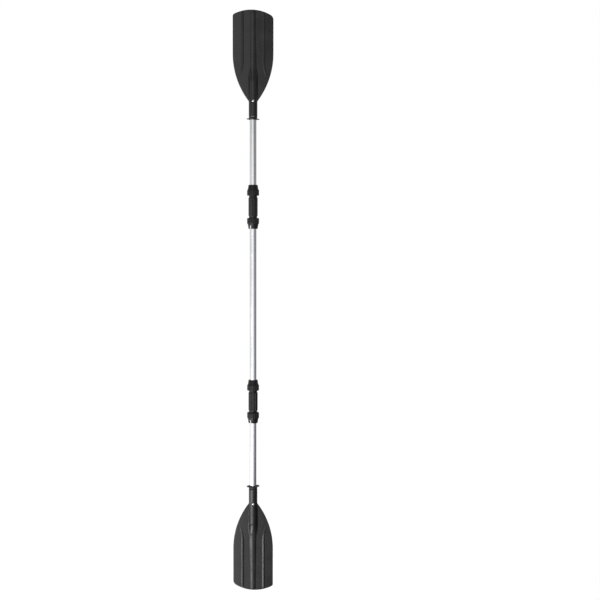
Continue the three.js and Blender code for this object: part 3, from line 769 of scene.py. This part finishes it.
class Look(Steps):
    """A material, with the textures and wear that several of them share."""

    def __init__(self, name):
        self.material = bpy.data.materials.new(name)
        self.material.use_nodes = True
        super().__init__(self.material.node_tree)
        self.shader = self.tree.nodes["Principled BSDF"]
        self.place = self.add("ShaderNodeTexCoord").outputs["Object"]

    def stretched(self, x=1.0, y=1.0, z=1.0, turn=0.0):
        """The piece's own coordinates, scaled along each axis."""
        return self.add("ShaderNodeMapping", {"Vector": self.place, "Scale": (x, y, z),
                                              "Rotation": (0, turn, 0)}).outputs["Vector"]

    def noise(self, scale, detail=4.0, roughness=0.55, vector=None, distortion=0.0):
        return self.add("ShaderNodeTexNoise", {
            "Vector": vector or self.place, "Scale": scale, "Detail": detail,
            "Roughness": roughness, "Distortion": distortion,
        }).outputs["Fac"]

    def spread(self, noise, to_low, to_high):
        """A noise's usual range, turned into another."""
        return self.remap(noise, 0.3, 0.7, to_low, to_high)

    def edges(self, low=0.52, high=0.62):
        """1 on the convex edges of the mesh, where a piece gets rubbed."""
        pointed = self.add("ShaderNodeNewGeometry").outputs["Pointiness"]
        return self.remap(pointed, low, high, 0.0, 1.0)

    def scratches(self, scale, turn, thin=0.012):
        """Thin broken lines at an angle across the piece."""
        lines = self.noise(scale, 2.0, 0.5, self.stretched(1.0, 1.0, 0.03, turn), 0.4)
        near = self.maths("ABSOLUTE", self.maths("SUBTRACT", lines, 0.5))
        broken = self.remap(self.noise(scale * 0.2, 2.0), 0.52, 0.66, 0.0, 1.0)
        return self.maths("MULTIPLY", self.remap(near, 0.0, thin, 1.0, 0.0), broken)

    def openness(self):
        """Ambient occlusion as a mask for painted shade: 0 deep in a groove or gap, 1 on an open
        face.
        """
        shaded = self.add("ShaderNodeAmbientOcclusion", {"Distance": 0.006}, samples=6)
        return self.remap(shaded.outputs["AO"], 0.35, 0.92, 0.0, 1.0)

    def bump(self, height, distance, strength=1.0, over=None):
        sockets = {"Height": height, "Distance": distance, "Strength": strength}
        if over is not None:
            sockets["Normal"] = over
        return self.add("ShaderNodeBump", sockets).outputs["Normal"]

    def done(self, **sockets):
        for key, value in sockets.items():
            self.plug(self.shader.inputs[key.replace("_", " ")], value)
        return self.material


def moulded_plastic(name, base, worn, roughness, flow=True, wear=1.0, gloss=0.5):
    """Black glass-filled nylon as it comes from the mould: fine grain, faint flow marks, rubbed
    edges and a few scratches, with painted shade in the grooves and recesses, where the colour is
    darker and the reflection weaker."""
    look = Look(name)
    grain = look.noise(1500.0, 3.0, 0.6)
    cloud = look.noise(14.0, 5.0, 0.6, distortion=0.6)
    scratch = look.maths("MULTIPLY", look.maths("MAXIMUM", look.scratches(260.0, 0.5),
                                                look.scratches(330.0, -0.9)), 0.6 * wear)
    patchy = look.remap(look.noise(60.0), 0.35, 0.7, 0.15, 0.9)
    rubbed = look.maths("MULTIPLY", look.maths("MULTIPLY", look.edges(), patchy), wear)
    tone = look.mix(look.spread(cloud, 0.0, 1.0), tuple(0.86 * c for c in base),
                    tuple(1.14 * c for c in base))
    tone = look.mix(look.maths("MULTIPLY", rubbed, 0.5), tone, worn)
    tone = look.mix(look.maths("MULTIPLY", scratch, 0.5), tone, worn)
    rough = look.maths("ADD", look.spread(cloud, roughness - 0.05, roughness + 0.06),
                       look.spread(grain, -0.03, 0.03))
    rough = look.maths("ADD", rough, look.maths("MULTIPLY", scratch, 0.12), clamp=True)
    normal = look.bump(grain, 2.5e-5)
    if flow:
        marks = look.noise(9.0, 3.0, 0.5, look.stretched(3.0, 3.0, 0.6), 1.4)
        normal = look.bump(marks, 6e-4, 0.35, over=normal)
    normal = look.bump(look.maths("SUBTRACT", 1.0, scratch), 3e-5, over=normal)
    out_of_shade = look.openness()
    # Painted shade: the colour falls to half and the reflection weakens where ambient occlusion
    # finds a groove, gap or recess.
    tone = look.mix(out_of_shade, tuple(0.5 * c for c in base), tone)
    sheen_dimmed_in_shade = look.remap(out_of_shade, 0.0, 1.0, 0.05, gloss, smooth=False)
    return look.done(Base_Color=tone, Roughness=rough, Normal=normal, IOR=1.5,
                     Specular_IOR_Level=sheen_dimmed_in_shade)


def drawn_aluminium(name):
    """Satin anodised tube: fine lines along its length, faint clouding, handling marks."""
    look = Look(name)
    lines = look.noise(900.0, 3.0, 0.6, look.stretched(1.0, 1.0, 0.006))
    coarse = look.noise(240.0, 2.0, 0.5, look.stretched(1.0, 1.0, 0.004))
    cloud = look.noise(11.0, 5.0, 0.6, distortion=0.8)
    ring_marks = look.noise(420.0, 2.0, 0.5, look.stretched(0.05, 0.05, 1.0), 0.2)
    ring_marks = look.maths("MULTIPLY", look.remap(ring_marks, 0.66, 0.72, 0.0, 1.0),
                            look.remap(look.noise(9.0, 2.0), 0.5, 0.62, 0.0, 1.0))
    tone = look.mix(look.spread(cloud, 0.0, 1.0), (0.80, 0.81, 0.82), (0.87, 0.875, 0.88))
    tone = look.mix(look.maths("MULTIPLY", ring_marks, 0.35), tone, (0.6, 0.6, 0.61))
    rough = look.maths("ADD", look.spread(cloud, 0.17, 0.24), look.spread(lines, -0.02, 0.03))
    rough = look.maths("ADD", rough, look.maths("MULTIPLY", ring_marks, 0.12))
    normal = look.bump(lines, 4e-6)
    normal = look.bump(coarse, 6e-6, over=normal)
    return look.done(Base_Color=tone, Metallic=1.0, Roughness=rough, Normal=normal)


def polished_steel(name, roughness=0.1, lines_along=False):
    look = Look(name)
    cloud = look.noise(500.0, 4.0, 0.6)
    vector = look.stretched(1.0, 1.0, 0.02) if lines_along else look.stretched(1.0, 0.2, 1.0, 0.6)
    lines = look.noise(2600.0, 2.0, 0.6, vector)
    tone = look.mix(cloud, (0.72, 0.72, 0.73), (0.84, 0.84, 0.84))
    rough = look.maths("ADD", look.spread(cloud, roughness - 0.03, roughness + 0.08),
                       look.remap(lines, 0.4, 0.7, 0.0, 0.06))
    return look.done(Base_Color=tone, Metallic=1.0, Roughness=rough, Normal=look.bump(lines, 3e-6))


def black_rubber(name):
    look = Look(name)
    grain = look.noise(1200.0, 4.0, 0.65)
    cloud = look.noise(45.0, 5.0, 0.6)
    dust = look.remap(look.noise(160.0, 5.0, 0.7), 0.55, 0.8, 0.0, 1.0)
    tone = look.mix(look.spread(cloud, 0.0, 1.0), (0.010, 0.010, 0.011), (0.018, 0.018, 0.018))
    tone = look.mix(look.maths("MULTIPLY", dust, 0.25), tone, (0.09, 0.085, 0.08))
    rough = look.spread(cloud, 0.36, 0.5)
    return look.done(Base_Color=tone, Roughness=rough, Normal=look.bump(grain, 3e-5), IOR=1.5)


def natural_nylon(name, low, high, roughness):
    """Unpainted plastic of the hidden pieces: slightly cloudy, faintly waxy, turned lines."""
    look = Look(name)
    cloud = look.noise(120.0, 5.0, 0.6, distortion=0.5)
    fine = look.noise(1500.0, 3.0, 0.6)
    turned = look.noise(1800.0, 2.0, 0.5, look.stretched(0.04, 0.04, 1.0))
    tone = look.mix(look.spread(cloud, 0.0, 1.0), low, high)
    rough = look.spread(fine, roughness - 0.06, roughness + 0.08)
    normal = look.bump(turned, 1e-5, over=look.bump(fine, 1.5e-5))
    return look.done(Base_Color=tone, Roughness=rough, Normal=normal, Subsurface_Weight=0.08,
                     Subsurface_Scale=0.002)


LOOKS = {
    "tube": drawn_aluminium("tube_satin_aluminium"),
    "grip": moulded_plastic("grip_moulded_black", (0.011, 0.011, 0.012), (0.08, 0.08, 0.08), 0.32,
                            flow=False, gloss=0.43),
    "nut": moulded_plastic("nut_moulded_black", (0.010, 0.010, 0.011), (0.08, 0.08, 0.08), 0.30,
                           flow=False, gloss=0.34),
    "blade": moulded_plastic("blade_moulded_black", (0.012, 0.012, 0.013), (0.07, 0.07, 0.07), 0.2,
                             wear=0.5),
    "ring": black_rubber("ring_black_rubber"),
    "button": polished_steel("button_polished_steel"),
    "spring": polished_steel("spring_rolled_steel", 0.26, lines_along=True),
    "collet": natural_nylon("collet_natural_nylon", (0.78, 0.78, 0.76), (0.86, 0.86, 0.84), 0.40),
    "plug": natural_nylon("plug_grey_plastic", (0.22, 0.23, 0.24), (0.29, 0.30, 0.31), 0.55),
}


# ---- Pieces in place -----------------------------------------------------------------------------

def fit(thing, node, slot, body=None):
    """Puts a finished piece in the place of a CAD node, on the body of that name by default."""
    if not thing.data.materials:
        thing.data.materials.append(LOOKS[slot])
    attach(thing, body or node)
    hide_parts(node)


def fit_spring(side, turn):
    """Puts the V spring in the tube, in the place of the CAD spring."""
    spring = make_spring()
    spring.name = f"v_spring_{side}"
    spring.data.transform(turn)
    spring.data.materials.append(LOOKS["spring"])
    lean = (SPRING_ARM - SPRING_BEND_RADIUS) / (SPRING_TOP - SPRING_BEND_RADIUS - SPRING_FREE_END)
    front_at_button = SPRING_ARM - lean * (BUTTON_AT - SPRING_FREE_END)
    height = (turn @ Vector((0, 0, BUTTON_AT * MM))).z
    start, end = ((0, -y * MM, height) for y in (SPRING_BEND_RADIUS, front_at_button))
    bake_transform(spring)
    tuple(start)
    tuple(end)
    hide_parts(f"button_spring_{side}")


END_UP = Matrix.Identity(4)
END_DOWN = Matrix.Rotation(math.pi, 4, "Y")
ENDS = ((UP, 1, END_UP), (DOWN, -1, END_DOWN))
NOT_FLIPPED = Matrix.Identity(4)
FLIPPED = Matrix.Rotation(math.pi, 4, "X")

centre_tube = make_tube("main_tube", -CENTRE_TUBE_END, CENTRE_TUBE_END)
fit(centre_tube, "center_tube", "tube", "center_shaft")

outer_tube = make_tube("outer_tube_mesh", *OUTER_TUBE)
cut(outer_tube, button_cutter("tube_hole_cutter", HOLE_FLOOR, BUTTON_HOLE, flare=0))
blade = make_blade()
button = make_button()
drip_ring = make_drip_ring()
plug = make_plug()
connector = make_connector()
nut = make_nut()
collet = make_collet()
patterns = (outer_tube, blade, button, drip_ring, plug, connector, nut, collet)

for side, sign, turn in ENDS:
    shaft = f"shaft_{side}"
    fit(copy_of(outer_tube, f"outer_tube_{side}", turn), f"shaft_tube_{side}", "tube", shaft)
    fit(copy_of(blade, f"paddle_blade_{side}", turn), f"blade_{side}", "blade", shaft)
    fit(copy_of(button, f"button_{side}", turn), f"snap_button_{side}", "button")
    droop = turn @ Matrix.Rotation(0.0 if side == UP else math.pi, 4, "Z")
    fit(copy_of(drip_ring, f"ring_{side}", droop), f"drip_ring_{side}", "ring")
    lifted = Matrix.Translation((0, 0, OUTER_TUBE[0] * MM))
    fit(copy_of(plug, f"outer_bung_{side}", turn @ lifted), f"shaft_plug_{side}", "plug", shaft)
    over = Matrix.Translation((0, 0, CENTRE_TUBE_END * MM)) @ Matrix.Rotation(math.pi, 4, "X")
    fit(copy_of(plug, f"middle_bung_{side}", turn @ over), f"center_plug_{side}", "plug",
        "center_shaft")

    grip_turn = math.pi / GRIP_PANELS if side == UP else 0.0
    base = Matrix.Translation((0, 0, sign * CONNECTOR_AT * MM)) @ Matrix.Rotation(grip_turn, 4, "Z")
    fit(copy_of(connector, f"grip_{side}", base), f"connector_{side}", "grip")
    for end, flip, unscrewed in (("high", NOT_FLIPPED, -grip_turn), ("low", FLIPPED, grip_turn)):
        # The grip's own turn isn't passed on to its nuts: they are screwed back by as much.
        shift = Matrix.Translation((0, 0, PITCH * unscrewed / (2 * math.pi) * MM))
        place = base @ flip @ shift
        name = f"{side}_{end}"
        screwed = place @ Matrix.Rotation(unscrewed, 4, "Z")
        fit(copy_of(nut, f"ribbed_nut_{name}", screwed), f"nut_{name}", "nut")
        fit(copy_of(collet, f"split_collet_{name}", place), f"collet_{name}", "collet")

    fit_spring(side, turn)

for pattern in patterns:
    bpy.data.objects.remove(pattern)


# ---- Stage, light and camera ---------------------------------------------------------------------

def make_floor():
    """A pale disc that fades into the background, low enough for the lower tube to be pulled out.
    Only the camera sees it, so the paddle is lit from below as well."""
    radius, drop = 1.6, 0.066
    low = cad_bounds[0].z - drop
    bpy.ops.mesh.primitive_circle_add(vertices=96, radius=radius, fill_type="NGON",
                                      location=(0, 0, low))
    floor = bpy.context.active_object
    floor.name = "floor"
    look = Look("pale_floor")
    gone = look.add("ShaderNodeBsdfTransparent").outputs[0]
    cloud = look.noise(3.0, 3.0)
    look.done(Base_Color=look.mix(cloud, (0.40, 0.40, 0.40), (0.44, 0.44, 0.44)), Roughness=0.9,
              Emission_Color=(1.0, 1.0, 1.0), Emission_Strength=0.88, Specular_IOR_Level=0.0)
    far = look.add("ShaderNodeVectorMath", {"Vector": look.place}, operation="LENGTH")
    near = look.remap(far.outputs["Value"], 0.35 * radius, 0.95 * radius, 1.0, 0.0)
    seen = look.maths("MULTIPLY", near, look.add("ShaderNodeLightPath").outputs["Is Camera Ray"])
    output = look.tree.nodes["Material Output"]
    look.plug(output.inputs["Surface"], look.blend(seen, gone, look.shader.outputs[0]))
    floor.data.materials.append(look.material)


# Light round the paddle: for a few elevations in degrees, levels by azimuth, which is 0 in front
# and negative to the left. A bright panel below on the left lights the ribs; the right is dark.
BRIGHTEST = 9.0
BELOW_PANEL = (
    (-180, 0.5), (-110, 0.75), (-40, 0.8), (0, 0.9), (14, 0.6), (25, 0.35), (40, 0.15), (60, 0.08),
    (100, 0.08), (150, 0.15), (180, 0.5),
)


def on_panel(left, middle, right, front):
    return ((-180, 0.5), (-150, 0.3), (-120, 1.0), (-60, 3.0), (-48, left), (-30, middle),
            (-18, right), (-4, front), (4, 0.4), (14, 0.3), (25, 0.25), (40, 0.12), (60, 0.07),
            (100, 0.08), (180, 0.5))


ROOM = (
    (8, ((-180, 0.5), (-105, 0.45), (-70, 0.35), (-45, 0.3), (-30, 0.4), (-12, 1.1), (-4, 1.0),
         (4, 0.3), (12, 0.26), (30, 0.28), (50, 0.27), (80, 0.3), (105, 0.4), (150, 0.4),
         (180, 0.5))),
    (3, ((-180, 0.6), (-130, 0.7), (-105, 0.72), (-60, 0.76), (-35, 0.85), (-20, 1.08), (0, 1.08),
         (14, 0.76), (30, 0.50), (45, 0.24), (60, 0.15), (80, 0.19), (105, 0.40), (150, 0.46),
         (180, 0.6))),
    (-11, ((-180, 0.7), (-130, 0.95), (-105, 0.9), (-60, 0.9), (-20, 1.15), (0, 1.25), (14, 1.10),
           (30, 0.85), (45, 0.60), (60, 0.35), (80, 0.15), (105, 0.18), (150, 0.35), (180, 0.7))),
    (-12.5, on_panel(6.5, 7.5, 2.8, 1.4)),
    (-17.5, on_panel(7.5, 8.5, 3.1, 1.5)),
    (-20, BELOW_PANEL),
    (-27, BELOW_PANEL),
    (-34, ((-180, 0.5), (-110, 0.75), (-62, 1.5), (-48, 6.5), (-28, 7.0), (-16, 1.6), (-4, 0.8),
           (14, 0.5), (25, 0.35), (40, 0.15), (60, 0.08), (100, 0.08), (150, 0.15), (180, 0.5))),
)


def studio():
    """A white room seen by the camera; to the paddle, soft light panels round it and a dark gap on
    its right."""
    world = bpy.data.worlds.new("studio")
    bpy.context.scene.world = world
    world.use_nodes = True
    world.node_tree.nodes.clear()
    sky = Steps(world.node_tree)

    towards = sky.add("ShaderNodeTexCoord").outputs["Generated"]
    parts = sky.add("ShaderNodeSeparateXYZ", {"Vector": towards}).outputs
    azimuth = sky.maths("ARCTAN2", parts["X"], sky.maths("MULTIPLY", parts["Y"], -1.0))
    turn = sky.maths("ADD", sky.maths("DIVIDE", azimuth, 2 * math.pi), 0.5)
    up = parts["Z"]

    def round_room(panels):
        ramp = sky.add("ShaderNodeValToRGB", {"Fac": turn})
        points = ramp.color_ramp.elements
        while len(points) < len(panels):
            points.new(0.5)
        for point, (degrees, level) in zip(points, panels):
            share = level / BRIGHTEST
            point.position = (degrees + 180) / 360
            point.color = (share, share, share, 1)
        grey = sky.add("ShaderNodeRGBToBW", {"Color": ramp.outputs["Color"]})
        return sky.maths("MULTIPLY", grey.outputs[0], BRIGHTEST)

    light = round_room(ROOM[0][1])
    for (higher, _), (lower, panels) in zip(ROOM, ROOM[1:]):
        above, below = (math.sin(math.radians(angle)) for angle in (higher, lower))
        share = sky.remap(up, above, below, 0.0, 1.0)
        light = sky.maths("ADD", sky.maths("MULTIPLY", light, sky.maths("SUBTRACT", 1.0, share)),
                          sky.maths("MULTIPLY", round_room(panels), share))
    light = sky.maths("MULTIPLY", light, sky.remap(up, -0.75, -0.95, 1.0, 0.2))
    light = sky.maths("MULTIPLY", light, sky.remap(up, 0.2, 0.5, 1.0, 0.9))

    on_right = sky.maths("MULTIPLY", sky.remap(azimuth, 0.5, 0.9, 0.0, 1.0),
                         sky.remap(azimuth, 2.0, 1.5, 0.0, 1.0))
    low_right = sky.maths("MULTIPLY", on_right, sky.remap(up, 0.08, -0.05, 0.0, 1.0))
    tint = sky.mix(low_right, (1.0, 1.0, 1.0), (0.97, 0.95, 1.18))
    lit = sky.add("ShaderNodeBackground", {"Color": tint, "Strength": light})
    seen = sky.add("ShaderNodeBackground", {"Color": (1.0, 1.0, 1.0)})
    by_camera = sky.add("ShaderNodeLightPath").outputs["Is Camera Ray"]
    sky.add("ShaderNodeOutputWorld", {
        "Surface": sky.blend(by_camera, lit.outputs[0], seen.outputs[0]),
    })


def make_camera():
    """A little above the paddle's middle, looking down at it; the paddle is left in the picture."""
    distance, elevation = 5.0, math.radians(4)
    lens = bpy.data.cameras.new("camera")
    lens.lens, lens.sensor_width = 71.5, 36
    lens.shift_x, lens.shift_y = 0.0782, 0.0077
    camera = bpy.data.objects.new("camera", lens)
    bpy.context.scene.collection.objects.link(camera)
    back = Vector((0, -math.cos(elevation), math.sin(elevation)))
    camera.location = back * distance
    camera.rotation_euler = (-back).to_track_quat("-Z", "Y").to_euler()
    bpy.context.scene.camera = camera


make_floor()
studio()
make_camera()
bpy.context.scene.view_settings.view_transform = "Standard"
